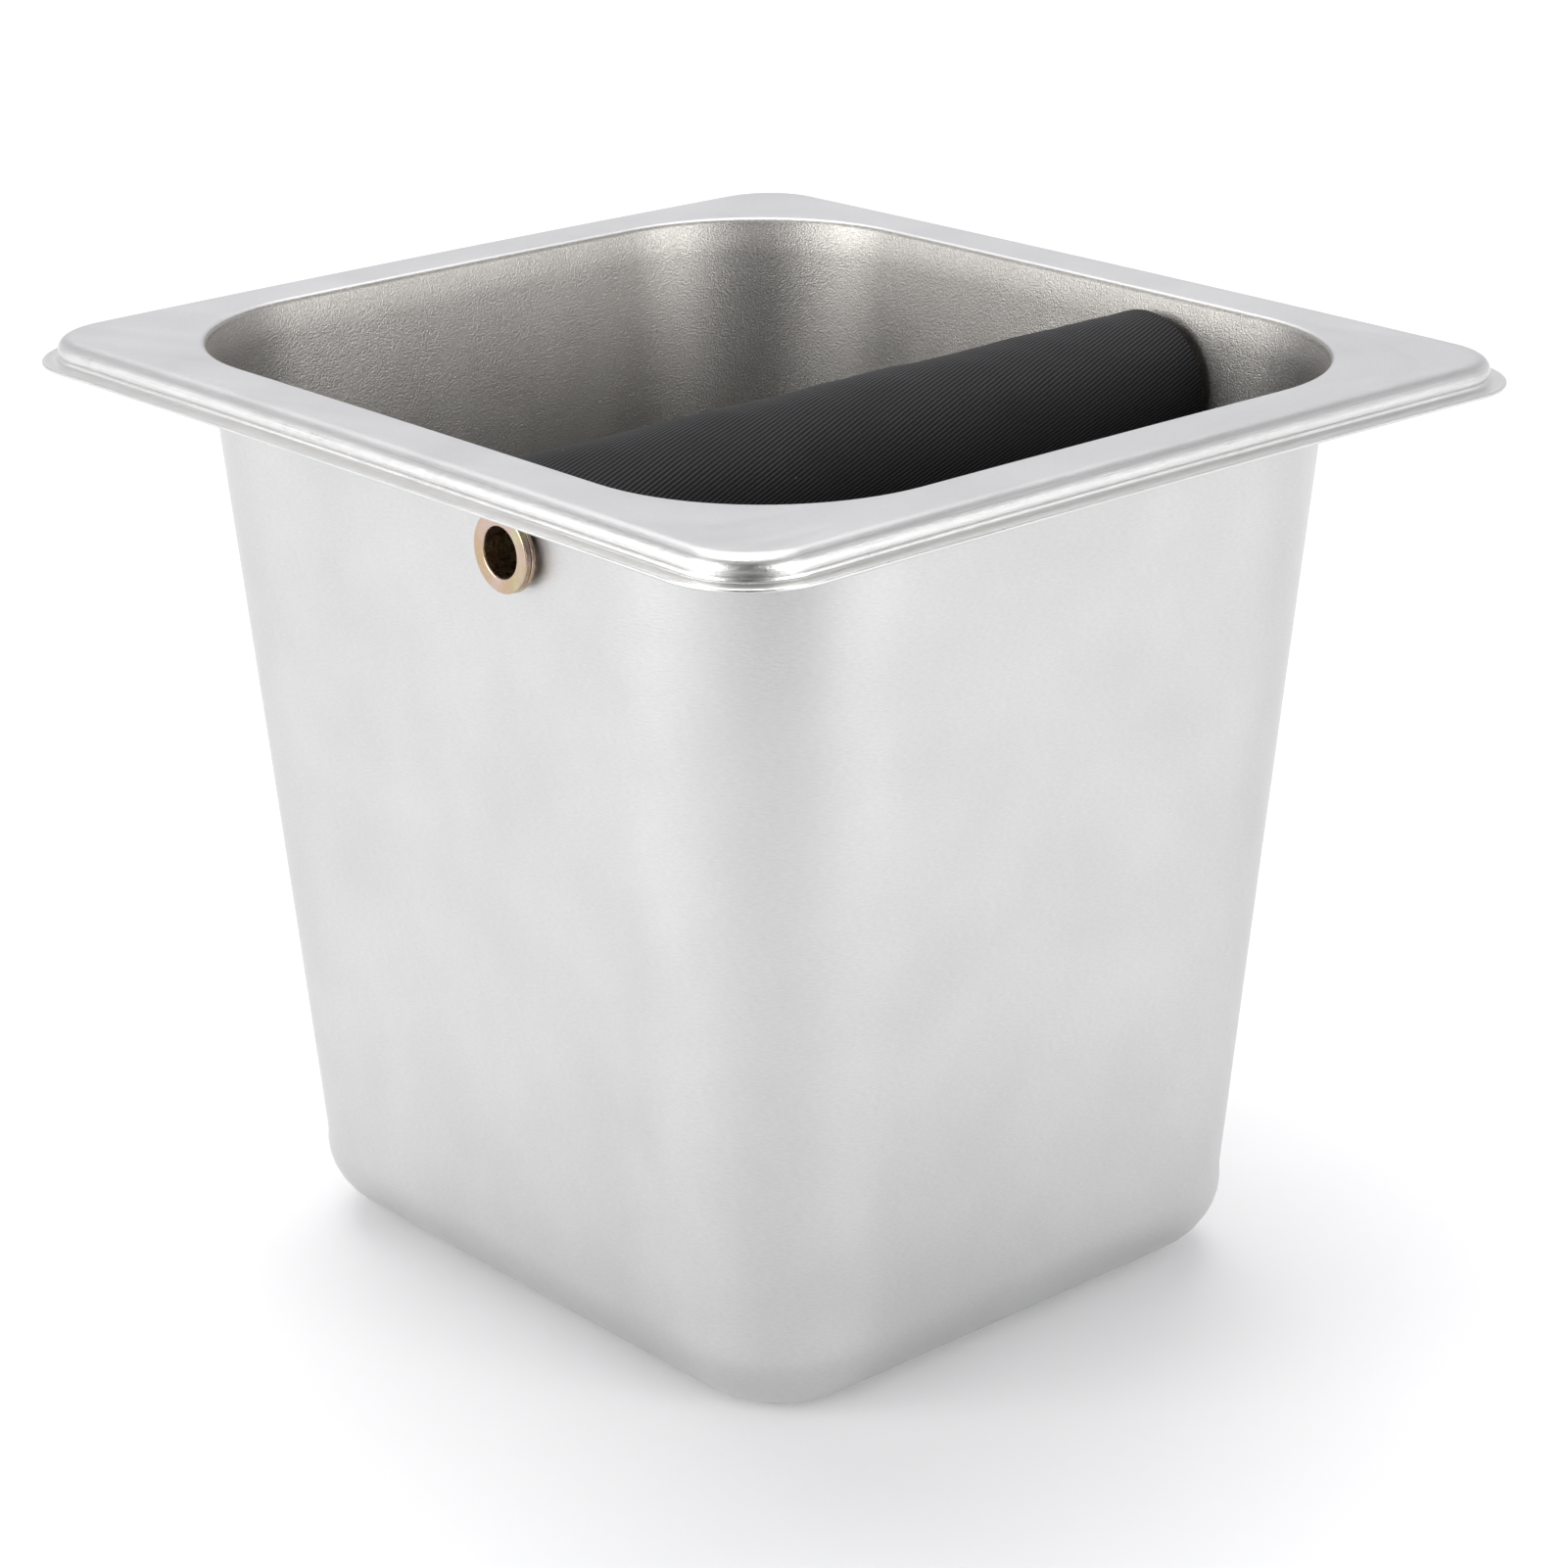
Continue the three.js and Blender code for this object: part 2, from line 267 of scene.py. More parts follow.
class Nodes:
    """Short calls that add nodes to one material."""

    def __init__(self, name):
        self.material = bpy.data.materials.new(name)
        self.material.use_nodes = True
        self.tree = self.material.node_tree
        self.shader = self.tree.nodes["Principled BSDF"]

    def set(self, **values):
        """Values on the shader's own sockets; an underscore stands for a space."""
        for key, value in values.items():
            self.shader.inputs[key.replace("_", " ")].default_value = value

    def into_shader(self, output, socket):
        self.tree.links.new(output, self.shader.inputs[socket])

    def feed(self, socket, value):
        """Links an output to the socket, or sets the socket to a plain value."""
        if isinstance(value, bpy.types.NodeSocket):
            self.tree.links.new(value, socket)
        else:
            socket.default_value = value

    def add(self, kind, inputs=None, **settings):
        node = self.tree.nodes.new(kind)
        for key, value in settings.items():
            setattr(node, key, value)
        for socket, value in (inputs or {}).items():
            self.feed(node.inputs[socket], value)
        return node

    def place(self):
        return self.add("ShaderNodeTexCoord").outputs["Object"]

    def attribute(self, name):
        return self.add("ShaderNodeAttribute", attribute_name=name).outputs

    def noise(self, vector, scale, detail=2.0, roughness=0.5, distortion=0.0):
        """Noise with `scale` cells to the metre, or with three numbers a scale for each axis."""
        if isinstance(scale, tuple):
            vector = self.add("ShaderNodeVectorMath", {0: vector, 1: scale}, operation="MULTIPLY").outputs[0]
            scale = 1.0
        inputs = {"Vector": vector, "Scale": scale, "Detail": detail, "Roughness": roughness,
                  "Distortion": distortion}
        return self.add("ShaderNodeTexNoise", inputs).outputs["Fac"]

    def math(self, operation, a, b=0.0):
        return self.add("ShaderNodeMath", {0: a, 1: b}, operation=operation).outputs[0]

    def weighted(self, *parts):
        """The sum of (output, weight) pairs; a weight may be an output too."""
        total = None
        for output, weight in parts:
            part = self.math("MULTIPLY", output, weight)
            total = part if total is None else self.math("ADD", total, part)
        return total

    def remap(self, value, low, high, to_low=0.0, to_high=1.0):
        """Takes low..high to to_low..to_high and stays within it."""
        inputs = {"Value": value, "From Min": low, "From Max": high, "To Min": to_low, "To Max": to_high}
        return self.add("ShaderNodeMapRange", inputs).outputs["Result"]

    def blend(self, factor, a, b):
        """Color a where the factor is 0 and b where it is 1."""
        node = self.add("ShaderNodeMix", data_type="RGBA")
        for socket, value in zip((node.inputs[0], node.inputs[6], node.inputs[7]), (factor, a, b)):
            self.feed(socket, value)
        return node.outputs[2]

    def bump(self, height, distance, strength=1.0, normal=None):
        inputs = {"Height": height, "Distance": distance, "Strength": strength}
        if normal is not None:
            inputs["Normal"] = normal
        return self.add("ShaderNodeBump", inputs).outputs["Normal"]


# Linear colors. A finish that varies has its darker and its paler end.
FLOOR_PAPER = (0.9, 0.9, 0.9, 1)
FLAG_CLOTH = (0.03, 0.03, 0.03, 1)
OUTER_STEEL = (0.545, 0.545, 0.543, 1), (0.605, 0.605, 0.605, 1)
# Painted shade: the inside is the same steel as the outside, given a darker, warmer colour for the shade in
# the hollow.
SHADED_INNER_STEEL = (0.345, 0.333, 0.312, 1), (0.445, 0.429, 0.404, 1)
BRUSHED_STEEL = (0.60, 0.597, 0.587, 1), (0.70, 0.696, 0.684, 1)
MILL_STEEL = (0.36, 0.36, 0.365, 1), (0.52, 0.52, 0.53, 1)
RUBBER = (0.003, 0.003, 0.0032, 1), (0.021, 0.021, 0.0225, 1)
CHALK = (0.45, 0.44, 0.42, 1)
NYLON = (0.72, 0.70, 0.64, 1), (0.80, 0.78, 0.73, 1)
ZINC_GOLD = (0.47, 0.345, 0.225, 1)
ZINC_PINK = (0.52, 0.40, 0.36, 1)
ZINC_GREEN = (0.47, 0.49, 0.27, 1)


def floor_material():
    n = Nodes("floor_paper")
    n.set(Base_Color=FLOOR_PAPER, Roughness=0.9, Specular_IOR_Level=0.2)
    return n.material


def flag_material():
    n = Nodes("flag_cloth")
    n.set(Base_Color=FLAG_CLOTH, Roughness=0.9)
    return n.material


def pan_material():
    """Satin steel: fine-grained walls and flange, a brushed rim, and a rougher inside whose darker, warmer
    colour is painted shade.
    """
    n = Nodes("satin_steel")
    n.set(Metallic=1.0)
    place = n.place()
    skin = n.attribute("skin")["Vector"]
    rim = n.attribute("rim")["Fac"]
    off_rim = n.math("SUBTRACT", 1.0, rim)
    inside = n.attribute("inside")["Fac"]
    outside = n.math("SUBTRACT", 1.0, inside)

    blotch = n.noise(place, scale=55, detail=3)
    drawn = n.noise(skin, scale=(260, 9, 0), detail=3)
    peel = n.noise(skin, scale=(900, 3600, 0), roughness=0.6)
    grain = n.noise(place, scale=3200, roughness=0.7)
    coarse_grain = n.noise(place, scale=1500, roughness=0.6)
    brushed = n.noise(skin, scale=(28, 6200, 0), detail=3, roughness=0.65)
    scuff = n.noise(skin, scale=(700, 500, 0), detail=3, roughness=0.7)

    outer = n.blend(n.remap(n.weighted((blotch, 0.4), (peel, 0.6)), 0.35, 0.65), *OUTER_STEEL)
    # Painted shade: the inside takes the darker, warmer steel colour; the grain and blotches on it are the
    # steel's own.
    inner = n.blend(n.remap(n.weighted((blotch, 0.3), (grain, 0.7)), 0.35, 0.65), *SHADED_INNER_STEEL)
    bright = n.blend(n.remap(brushed, 0.3, 0.7), *BRUSHED_STEEL)
    n.into_shader(n.blend(rim, n.blend(inside, outer, inner), bright), "Base Color")

    satin = n.remap(n.weighted((drawn, 0.6), (blotch, 0.4)), 0.3, 0.7, 0.36, 0.44)
    satin = n.weighted((satin, 1.0), (inside, 0.02))
    polished = n.remap(n.weighted((brushed, 0.5), (scuff, 0.5)), 0.3, 0.7, 0.24, 0.46)
    n.into_shader(n.weighted((satin, off_rim), (polished, rim)), "Roughness")

    inner_grain = n.weighted((grain, 1.0), (coarse_grain, 0.15))
    outer_grain = n.weighted((peel, 0.25), (grain, 0.1))
    fine = n.bump(n.weighted((inner_grain, inside), (outer_grain, outside)), distance=0.11 * MM)
    lines = n.weighted((brushed, rim), (grain, rim))
    n.into_shader(n.bump(lines, distance=0.03 * MM, strength=0.8, normal=fine), "Normal")
    return n.material


TWILL_STARTS = 124
TWILL_ANGLE = math.radians(18.5)


def rubber_material():
    """Black rubber that was cured in cloth wrap: a fine twill impression and specks of chalky dust."""
    n = Nodes("wrapped_rubber")
    n.set(Specular_IOR_Level=0.3)
    place = n.place()
    wrap = n.add("ShaderNodeSeparateXYZ", {0: n.attribute("wrap")["Vector"]}).outputs
    wander = n.noise(place, scale=120)
    lean = TWILL_STARTS * math.tan(TWILL_ANGLE) / SLEEVE_R
    twill = n.math("SINE", n.weighted((wrap["Y"], TWILL_STARTS), (wrap["X"], lean), (wander, 1.0)))
    thread = n.noise(place, scale=(900, 2600, 2600), detail=3, roughness=0.7)
    patch = n.noise(place, scale=70, detail=3)
    ribs = n.math("MULTIPLY", n.remap(twill, -1, 1), n.remap(patch, 0.25, 0.6, 0.7, 1.0))
    n.into_shader(n.bump(n.weighted((ribs, 1.0), (thread, 0.35)), distance=0.16 * MM), "Normal")

    dust = n.remap(n.noise(place, scale=1100, roughness=0.8), 0.755, 0.80, 0, 0.6)
    n.into_shader(n.blend(dust, n.blend(ribs, *RUBBER), CHALK), "Base Color")
    n.into_shader(n.remap(ribs, 0, 1, 0.82, 0.55), "Roughness")
    return n.material


def zinc_material():
    """Yellow chromate over zinc: gold with drifting pink and green."""
    n = Nodes("yellow_zinc")
    n.set(Metallic=1.0)
    place = n.place()
    drift = n.noise(place, scale=160, distortion=0.6)
    green = n.noise(place, scale=(210, 273, 168))
    gold = n.blend(n.remap(drift, 0.35, 0.65), ZINC_GOLD, ZINC_PINK)
    n.into_shader(n.blend(n.remap(green, 0.5, 0.72, 0, 0.75), gold, ZINC_GREEN), "Base Color")
    n.into_shader(n.remap(n.noise(place, scale=900, detail=3), 0.3, 0.7, 0.2, 0.34), "Roughness")
    n.into_shader(n.bump(n.noise(place, scale=2600), distance=0.004 * MM, strength=0.6), "Normal")
    return n.material


def pipe_material():
    """Mill-finish steel with fine lines along the pipe."""
    n = Nodes("mill_steel")
    n.set(Metallic=1.0)
    streak = n.noise(n.place(), scale=(40, 1500, 1500), detail=3)
    n.into_shader(n.blend(streak, *MILL_STEEL), "Base Color")
    n.into_shader(n.remap(streak, 0.3, 0.7, 0.35, 0.55), "Roughness")
    n.into_shader(n.bump(streak, distance=0.01 * MM, strength=0.5), "Normal")
    return n.material


def nylon_material():
    """Natural nylon, slightly translucent, with a faint moulding texture."""
    n = Nodes("natural_nylon")
    n.set(Subsurface_Weight=0.15, Subsurface_Scale=1 * MM)
    place = n.place()
    cloud = n.noise(place, scale=300)
    n.into_shader(n.blend(cloud, *NYLON), "Base Color")
    n.into_shader(n.remap(cloud, 0.3, 0.7, 0.42, 0.55), "Roughness")
    n.into_shader(n.bump(n.noise(place, scale=2500), distance=0.01 * MM, strength=0.4), "Normal")
    return n.material


# ---------------------------------------------------------------- pan

CORNER_STEPS = 20
SIDE_STEPS = 14
FLOOR_RINGS = 8
HOLE_SEGMENTS = 64
SHARP_ANGLE = math.radians(40)

# Rows of the rim's top bend that are satin, as the flange is, and rows of the mouth bend before the inside.
SATIN_BEND_ROWS = 5
SATIN_MOUTH_ROWS = 5


def wall_inset(z):
    return mix(FLOOR_WALL_INSET, REFERENCE_WALL_INSET, z / REFERENCE_Z)


def wall_corner_r(z):
    return mix(FLOOR_WALL_CORNER_R, REFERENCE_WALL_CORNER_R, z / REFERENCE_Z)


def bend(centre, radius, start, end, corner_start, corner_end, steps):
    """Levels (inset, z, plan corner radius) round an arc; 0 degrees points inwards and 90 up."""
    levels = []
    for i in range(steps + 1):
        t = i / steps
        angle = math.radians(mix(start, end, t))
        inset = centre[0] + radius * math.cos(angle)
        z = centre[1] + radius * math.sin(angle)
        levels.append((inset, z, mix(corner_start, corner_end, t)))
    return levels


def straight(start, end, steps):
    """Even steps from start to end, without either of them."""
    return [tuple(mix(a, b, i / steps) for a, b in zip(start, end)) for i in range(1, steps)]


def flare_bend():
    """Radius and centre of the long bend that carries the outer skin's wall into the mouth bend.

    It touches the straight wall at one end and the mouth bend, at FLARE_TILT, at the other.
    """
    bend_r = MOUTH_BEND_R - SHEET
    end = (MOUTH_INSET + bend_r * math.cos(FLARE_TILT), RIM_Z - MOUTH_BEND_R + bend_r * math.sin(FLARE_TILT))
    gap = (wall_inset(end[1]) - end[0]) * math.cos(WALL_TILT)
    radius = gap / (1 - math.cos(FLARE_TILT - WALL_TILT))
    centre = (end[0] - radius * math.cos(FLARE_TILT), end[1] - radius * math.sin(FLARE_TILT))
    return radius, centre


def body_skin(depth):
    """Floor bend, wall, flare and mouth bend of the skin `depth` inside the outer surface, upwards."""
    floor_r = FLOOR_BEND_R - depth
    mouth_r = MOUTH_BEND_R - SHEET + depth
    tilt, flare_tilt = math.degrees(WALL_TILT), math.degrees(FLARE_TILT)
    touch_z = FLOOR_BEND_R * (1 - math.sin(WALL_TILT))
    floor_centre = (wall_inset(touch_z) + FLOOR_BEND_R * math.cos(WALL_TILT), FLOOR_BEND_R)
    flare_r, flare_centre = flare_bend()
    mouth_centre = (MOUTH_INSET, RIM_Z - MOUTH_BEND_R)
    wall_r = wall_corner_r(touch_z) - depth
    top_r = wall_corner_r(flare_centre[1] + flare_r * math.sin(WALL_TILT)) - depth
    mouth_low_r = top_r + MOUTH_BEND_R * (1 - math.cos(FLARE_TILT))
    low = bend(floor_centre, floor_r, 270, 180 + tilt, wall_r - floor_r, wall_r, steps=12)
    flare = bend(flare_centre, flare_r + depth, tilt, flare_tilt, top_r, mouth_low_r, steps=10)
    high = bend(mouth_centre, mouth_r, flare_tilt, 90, mouth_low_r, mouth_low_r + mouth_r, steps=10)[1:]
    return low + straight(low[-1], flare[0], steps=16) + flare + high


def forming_groove(level):
    """A level of the skirt's outer face, sunk where the groove runs round it."""
    inset, z, corner_r = level
    depth = FORMING_GROOVE_DEPTH * math.exp(-(((z - FORMING_GROOVE_Z) / FORMING_GROOVE_HALF_WIDTH) ** 2))
    return inset + depth, z, corner_r - depth


def pan_levels():
    """The closed section from the floor's outer edge, round the rim, to the floor's inner edge.

    With it come the rows of the brushed rim and the row where the inside's finish starts.
    """
    rim = (SKIRT_INSET + RIM_BEND_R, RIM_Z - RIM_BEND_R)
    rim_r = LIP_CORNER_R - SKIRT_INSET
    bend_r = rim_r - RIM_BEND_R
    edge_r = SHEET / 2
    edge = (edge_r, LIP_TOP_Z - edge_r)
    root = (SKIRT_INSET - SKIRT_ROOT_R, LIP_TOP_Z + SKIRT_ROOT_R)
    flat_r = LIP_CORNER_R - edge_r
    root_r = LIP_CORNER_R - root[0]
    outside = body_skin(0)
    under_bend = bend(rim, RIM_BEND_R - SHEET, 90, 180, bend_r, rim_r - SHEET, steps=8)
    under_root = bend(root, SKIRT_ROOT_R + SHEET, 360, 270, rim_r - SHEET, root_r, steps=6)
    lip_low = bend(edge, edge_r, 270, 180, flat_r, LIP_CORNER_R, steps=4)
    lip_high = bend(edge, edge_r, 180, 90, LIP_CORNER_R, flat_r, steps=4)[1:]
    top_root = bend(root, SKIRT_ROOT_R, 270, 360, root_r, rim_r, steps=5)
    top_bend = bend(rim, RIM_BEND_R, 180, 90, rim_r, bend_r, steps=10)
    inside = body_skin(SHEET)[::-1]
    under = straight(outside[-1], under_bend[0], steps=4)
    lip_under = straight(under_root[-1], lip_low[0], steps=2)
    lip_top = straight(lip_high[-1], top_root[0], steps=3)
    skirt = [forming_groove(level) for level in straight(top_root[-1], top_bend[0], steps=12)]
    flange = straight(top_bend[-1], inside[0], steps=8)

    band = under_bend + under_root + lip_under + lip_low + lip_high + lip_top + top_root + skirt + top_bend
    first = len(outside + under)
    rim_rows = range(first, first + len(band) - SATIN_BEND_ROWS)
    inside_row = first + len(band + flange) + SATIN_MOUTH_ROWS
    return outside + under + band + flange + inside, rim_rows, inside_row


def pan_ring(inset, z, corner_r):
    """A rounded rectangle, anticlockwise from the +X +Y corner, corners and sides evenly stepped."""
    x, y = HALF_X - inset - corner_r, HALF_Y - inset - corner_r
    corners = []
    for quarter, (cx, cy) in enumerate([(x, y), (-x, y), (-x, -y), (x, -y)]):
        angles = [(quarter + i / CORNER_STEPS) * math.pi / 2 for i in range(CORNER_STEPS + 1)]
        corners.append([(cx + corner_r * math.cos(a), cy + corner_r * math.sin(a), z) for a in angles])
    ring = []
    for here, there in zip(corners, corners[1:] + corners[:1]):
        ring += here + straight(here[-1], there[0], SIDE_STEPS)
    return ring


def formed(rings):
    """The small departures from true that drawing and trimming leave on the sheet."""
    x, y, z = rings[..., 0], rings[..., 1], rings[..., 2]
    corner = (np.abs(x) / HALF_X) ** 2 * (np.abs(y) / HALF_Y) ** 2
    z -= CORNER_DROOP * corner * smooth(DROOP_STARTS_Z, DROOP_FULL_Z, z)
    wall = smooth(BOW_STARTS_Z, BOW_FULL_Z, z) * (1 - smooth(BOW_FADES_Z, BOW_ENDS_Z, z))
    bow_x = np.cos(np.clip(y / HALF_Y, -1, 1) * math.pi / 2) * np.sin(z / RIM_Z * math.pi)
    bow_y = np.cos(np.clip(x / HALF_X, -1, 1) * math.pi / 2) * np.sin(z / RIM_Z * math.pi)
    side_x = smooth(BOW_SIDE_FROM, BOW_SIDE_FULL, np.abs(x) / (HALF_X - wall_inset(z)))
    side_y = smooth(BOW_SIDE_FROM, BOW_SIDE_FULL, np.abs(y) / (HALF_Y - wall_inset(z)))
    x -= np.sign(x) * WALL_BOW * bow_x * side_x * wall
    y -= np.sign(y) * WALL_BOW * bow_y * side_y * wall
    return rings


def floor_rows(ring, z_side):
    """Rings that close the floor towards its middle, on a shallow crown."""
    rows = []
    for i in range(1, FLOOR_RINGS):
        scale = 1 - i / FLOOR_RINGS
        lift = FLOOR_CROWN * (1 - scale * scale)
        rows.append(np.column_stack([ring[:, :2] * scale, np.full(len(ring), z_side + lift)]))
    return rows


def skin_of(rows):
    """Points and faces of the rows, closed by a middle point at each end, and the faces' places on the skin.

    A place is the distance round its row, closed at the full length, and the distance up the section.
    """
    count = rows.shape[1]
    points = rows.reshape(-1, 3).tolist()
    points += [(0, 0, FLOOR_CROWN), (0, 0, SHEET + FLOOR_CROWN)]
    first, last = len(points) - 2, len(points) - 1
    top = (len(rows) - 1) * count
    steps = np.linalg.norm(np.diff(rows, axis=1, append=rows[:, :1]), axis=2)
    along = np.hstack([np.zeros((len(rows), 1)), np.cumsum(steps, axis=1)])
    across = np.cumsum(np.linalg.norm(np.diff(rows[:, 0], axis=0, prepend=rows[:1, 0]), axis=1))
    faces, places = [], []
    for i in range(count):
        j = (i + 1) % count
        faces.append((first, j, i))
        places += [(0, 0, 0), (along[0, i + 1], 0, 0), (along[0, i], 0, 0)]
        for row in range(len(rows) - 1):
            low, high = row * count, (row + 1) * count
            faces.append((low + i, low + j, high + j, high + i))
            places += [(along[row, i], across[row], 0), (along[row, i + 1], across[row], 0),
                       (along[row + 1, i + 1], across[row + 1], 0), (along[row + 1, i], across[row + 1], 0)]
        faces.append((top + i, top + j, last))
        places += [(along[-1, i], across[-1], 0), (along[-1, i + 1], across[-1], 0), (0, across[-1], 0)]
    return points, faces, places


def make_pan():
    levels, rim_rows, inside_row = pan_levels()
    rings = formed(np.array([pan_ring(*level) for level in levels]))
    below = floor_rows(rings[0], 0)[::-1]
    above = floor_rows(rings[-1], SHEET)
    rows = np.array(below + list(rings) + above)
    points, faces, places = skin_of(rows)
    mesh = bpy.data.meshes.new("steel_pan")
    mesh.from_pydata(points, [], faces)
    mesh.shade_smooth()

    # The finish of each row, and of the middle points of the underside and of the floor.
    rim, inside = np.zeros(len(rows)), np.zeros(len(rows))
    rim[len(below) + rim_rows.start:len(below) + rim_rows.stop] = 1
    inside[len(below) + inside_row:] = 1
    count = rows.shape[1]
    write_values(mesh, "rim", np.append(np.repeat(rim, count), [0, 0]))
    write_values(mesh, "inside", np.append(np.repeat(inside, count), [0, 1]))
    write_corners(mesh, "skin", places)

    pan = new_object("steel_pan", mesh)
    mesh.materials.append(pan_material())
    cut_axle_holes(pan)
    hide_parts("pan")
    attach(pan, "box")


def write_values(mesh, name, values):
    """One number for each point."""
    mesh.attributes.new(name, "FLOAT", "POINT").data.foreach_set("value", np.asarray(values, np.float32))


def write_corners(mesh, name, vectors):
    """One vector for each face corner, in the order of the faces, so that a pattern can close on itself."""
    flat = np.asarray(vectors, np.float32).ravel()
    mesh.attributes.new(name, "FLOAT_VECTOR", "CORNER").data.foreach_set("vector", flat)


def cut_axle_holes(pan):
    """Round holes through both side walls on the bar's axis."""
    radius = AXLE_R + AXLE_HOLE_GAP
    length = 2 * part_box("axle_tube")[1].x
    across = Matrix.Translation(BAR_AXIS) @ Matrix.Rotation(math.pi / 2, 4, "Y")
    drill = bmesh.new()
    bmesh.ops.create_cone(drill, cap_ends=True, segments=HOLE_SEGMENTS, radius1=radius, radius2=radius,
                          depth=length, matrix=across)
    drill_mesh = bpy.data.meshes.new("drill")
    drill.to_mesh(drill_mesh)
    drill.free()
    tool = new_object("drill", drill_mesh)
    cut = pan.modifiers.new("axle_holes", "BOOLEAN")
    cut.operation = "DIFFERENCE"
    cut.solver = "EXACT"
    cut.object = tool
    apply_modifiers(pan)
    pan.data.set_sharp_from_angle(angle=SHARP_ANGLE)
    bpy.data.objects.remove(tool)


def apply_modifiers(piece):
    """Turns the piece's modifiers into its mesh."""
    graph = bpy.context.evaluated_depsgraph_get()
    done = bpy.data.meshes.new_from_object(piece.evaluated_get(graph))
    piece.modifiers.clear()
    piece.data = done


# ---------------------------------------------------------------- pieces turned about the bar's axis

TURNED_SEGMENTS = 128
SLEEVE_SEGMENTS = 240
SLEEVE_ROWS = 260


def arc(centre_x, centre_r, radius, start, end, steps=4):
    """Section points (x, r) round an arc; 0 degrees points along +X and 90 away from the axis."""
    angles = [math.radians(mix(start, end, i / steps)) for i in range(steps + 1)]
    return [(centre_x + radius * math.cos(a), centre_r + radius * math.sin(a)) for a in angles]


def around_bar(x, r, turn):
    """The point at x, r from the bar's axis, after this share of a turn from straight up."""
    angle = 2 * math.pi * turn
    return x, BAR_AXIS.y - r * math.sin(angle), BAR_AXIS.z + r * math.cos(angle)


def turned(name, section, segments=TURNED_SEGMENTS):
    """A closed section of (x, r) points, listed anticlockwise, swept round the bar's axis."""
    points = [around_bar(x, r, i / segments) for x, r in section for i in range(segments)]
    faces = []
    for row in range(len(section)):
        low, high = row * segments, (row + 1) % len(section) * segments
        for i in range(segments):
            j = (i + 1) % segments
            faces.append((low + i, high + i, high + j, low + j))
    mesh = bpy.data.meshes.new(name)
    mesh.from_pydata(points, [], faces)
    mesh.shade_smooth()
    return new_object(name, mesh)


def mirrored(section):
    """The same section at the other end of the bar."""
    return [(-x, r) for x, r in reversed(section)]


def rounded_ring(x_from, x_to, inner_r, outer_r, edge_r):
    """Section of a ring with all four edges rounded."""
    return (
        arc(x_to - edge_r, outer_r - edge_r, edge_r, 0, 90)
        + arc(x_from + edge_r, outer_r - edge_r, edge_r, 90, 180)
        + arc(x_from + edge_r, inner_r + edge_r, edge_r, 180, 270)
        + arc(x_to - edge_r, inner_r + edge_r, edge_r, 270, 360)
    )


def finish_piece(piece, material, node, body):
    piece.data.materials.append(material)
    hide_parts(node)
    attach(piece, body)


def make_axle(material):
    """The plated tube, flared at both ends into a flat head with a broken inner and outer edge."""
    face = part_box("axle_tube")[1].x
    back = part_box("washer_right")[1].x + HEAD_SEAT_GAP
    rim_r = outer_radius("axle_tube") - HEAD_EDGE_R
    bore_edge, edge = HEAD_BORE_EDGE_R, HEAD_EDGE_R
    right = (
        arc(face - bore_edge, AXLE_BORE_R + bore_edge, bore_edge, 270, 360, steps=5)
        + arc(face - edge, rim_r, edge, 0, 90, steps=6)
        + arc(back + edge, rim_r, edge, 90, 180, steps=5)
        + [(back, AXLE_R + HEAD_ROOT), (back - HEAD_ROOT, AXLE_R)]
    )
    axle = turned("axle_tube_plated", right + mirrored(right))
    finish_piece(axle, material, "axle_tube", "box")


def make_washers(material):
    for side in ("left", "right"):
        node = "washer_" + side
        low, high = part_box(node)
        section = rounded_ring(low.x, high.x, AXLE_R + WASHER_BORE_GAP, outer_radius(node), WASHER_EDGE_R)
        finish_piece(turned("washer_plated_" + side, section), material, node, "box")


def make_core(material):
    low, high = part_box("core_pipe")
    section = rounded_ring(low.x, high.x, CORE_BORE_R, outer_radius("core_pipe"), CORE_EDGE_R)
    finish_piece(turned("core_pipe_steel", section), material, "core_pipe", "knock_bar")


def make_bushes(material):
    """Flanged bushes; the flange faces the wall."""
    bore_r, edge = AXLE_R + BUSH_BORE_GAP, BUSH_EDGE_R
    for side in ("left", "right"):
        node = "bush_" + side
        low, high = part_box(node)
        inner, outer = sorted((abs(low.x), abs(high.x)))
        flange_r = outer_radius(node)
        flange_x = outer - BUSH_FLANGE
        section = (
            arc(outer - edge, flange_r - edge, edge, 0, 90)
            + arc(flange_x + edge, flange_r - edge, edge, 90, 180)
            + [(flange_x, BUSH_SPIGOT_R)]
            + arc(inner + edge, BUSH_SPIGOT_R - edge, edge, 90, 180)
            + arc(inner + edge, bore_r + edge, edge, 180, 270)
            + arc(outer - edge, bore_r + edge, edge, 270, 360)
        )
        if side == "left":
            section = mirrored(section)
        finish_piece(turned("bush_nylon_" + side, section), material, node, "knock_bar")


def sleeve_noise(x, angle, length, around, offset=0):
    """Smooth noise, about `length` long on the bar and varying faster round it as `around` grows."""
    return noise.noise(Vector((x / length + offset, around * math.cos(angle), around * math.sin(angle))))


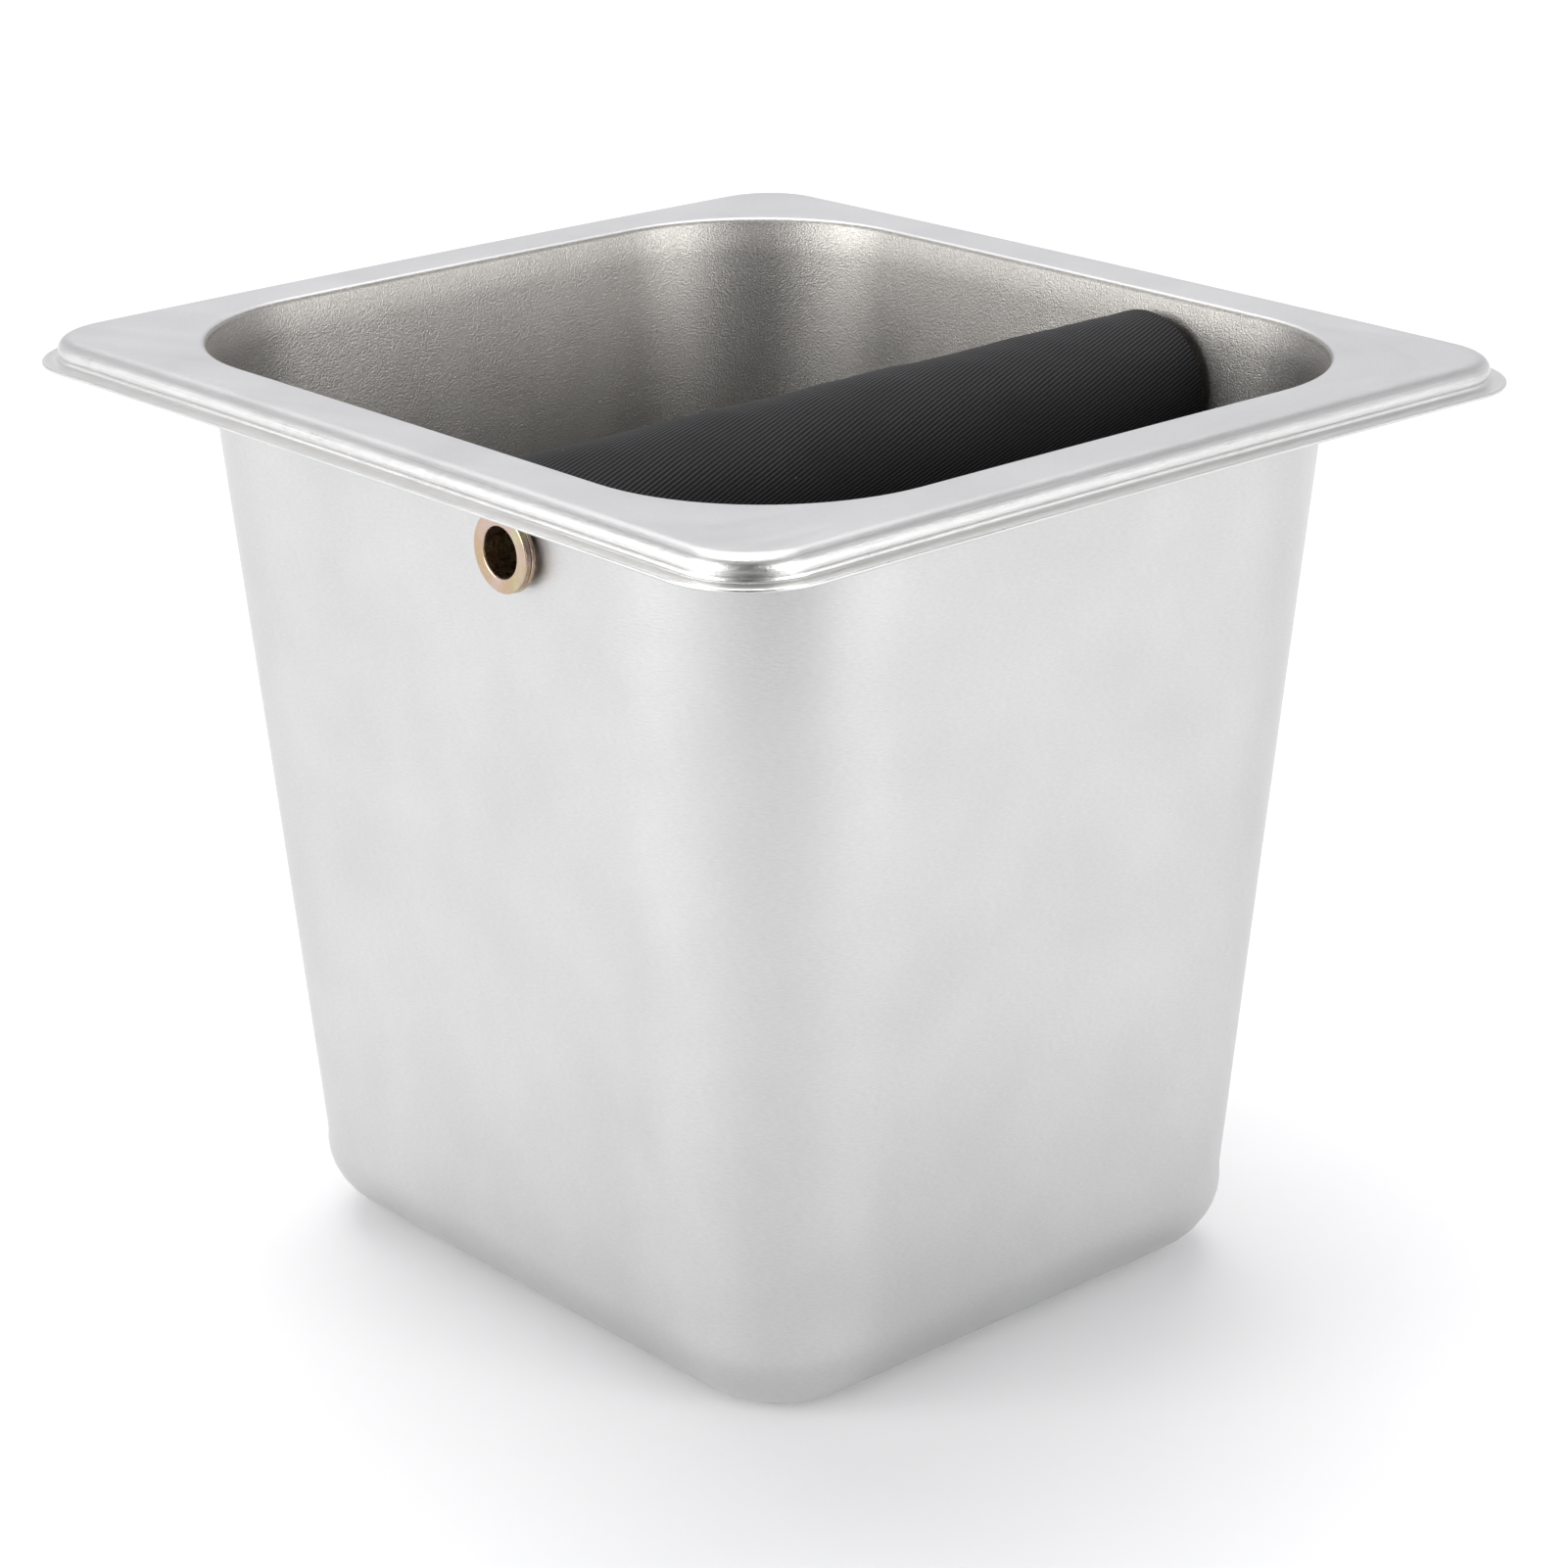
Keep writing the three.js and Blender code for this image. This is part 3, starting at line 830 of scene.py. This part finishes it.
def sleeve_lump(x, turn):
    """How far the wrapped rubber stands off a true cylinder here, in metres."""
    angle = 2 * math.pi * turn
    broad = sleeve_noise(x, angle, length=14 * MM, around=1.1)
    crease = sleeve_noise(x, angle, length=5 * MM, around=2.2, offset=7)
    return SLEEVE_LUMP * (0.8 * broad + 0.35 * crease)


def sleeve_section():
    half, end, bore_edge = SLEEVE_HALF, SLEEVE_END_R, SLEEVE_BORE_EDGE_R
    return (
        arc(half - end, SLEEVE_R - end, end, 0, 90, steps=8)
        + straight((half - end, SLEEVE_R), (end - half, SLEEVE_R), SLEEVE_ROWS)
        + arc(end - half, SLEEVE_R - end, end, 90, 180, steps=8)
        + arc(bore_edge - half, SLEEVE_BORE_R + bore_edge, bore_edge, 180, 270)
        + arc(half - bore_edge, SLEEVE_BORE_R + bore_edge, bore_edge, 270, 360)
    )


def make_sleeve(material):
    """Rubber tube with rounded ends and the lumps that a cloth-wrapped hose has."""
    section = sleeve_section()
    sleeve = turned("rubber_sleeve_wrapped", section, SLEEVE_SEGMENTS)
    for vertex in sleeve.data.vertices:
        row, i = divmod(vertex.index, SLEEVE_SEGMENTS)
        x, r = section[row]
        turn = i / SLEEVE_SEGMENTS
        share = (r - SLEEVE_BORE_R) / (SLEEVE_R - SLEEVE_BORE_R)
        vertex.co = around_bar(x, r + sleeve_lump(x, turn) * share, turn)

    # Place on the wrap: distance along the bar and angle round it.
    wrap = []
    for (here, _), (there, _) in zip(section, section[1:] + section[:1]):
        for i in range(SLEEVE_SEGMENTS):
            angle, after = (2 * math.pi * k / SLEEVE_SEGMENTS for k in (i, i + 1))
            wrap += [(here, angle, 0), (there, angle, 0), (there, after, 0), (here, after, 0)]
    write_corners(sleeve.data, "wrap", wrap)
    finish_piece(sleeve, material, "rubber_sleeve", "knock_bar")


# ---------------------------------------------------------------- build

bpy.context.scene.view_settings.view_transform = "Standard"
make_camera()
make_floor()
make_lights()
make_pan()
zinc = zinc_material()
make_axle(zinc)
make_washers(zinc)
make_core(pipe_material())
make_bushes(nylon_material())
make_sleeve(rubber_material())
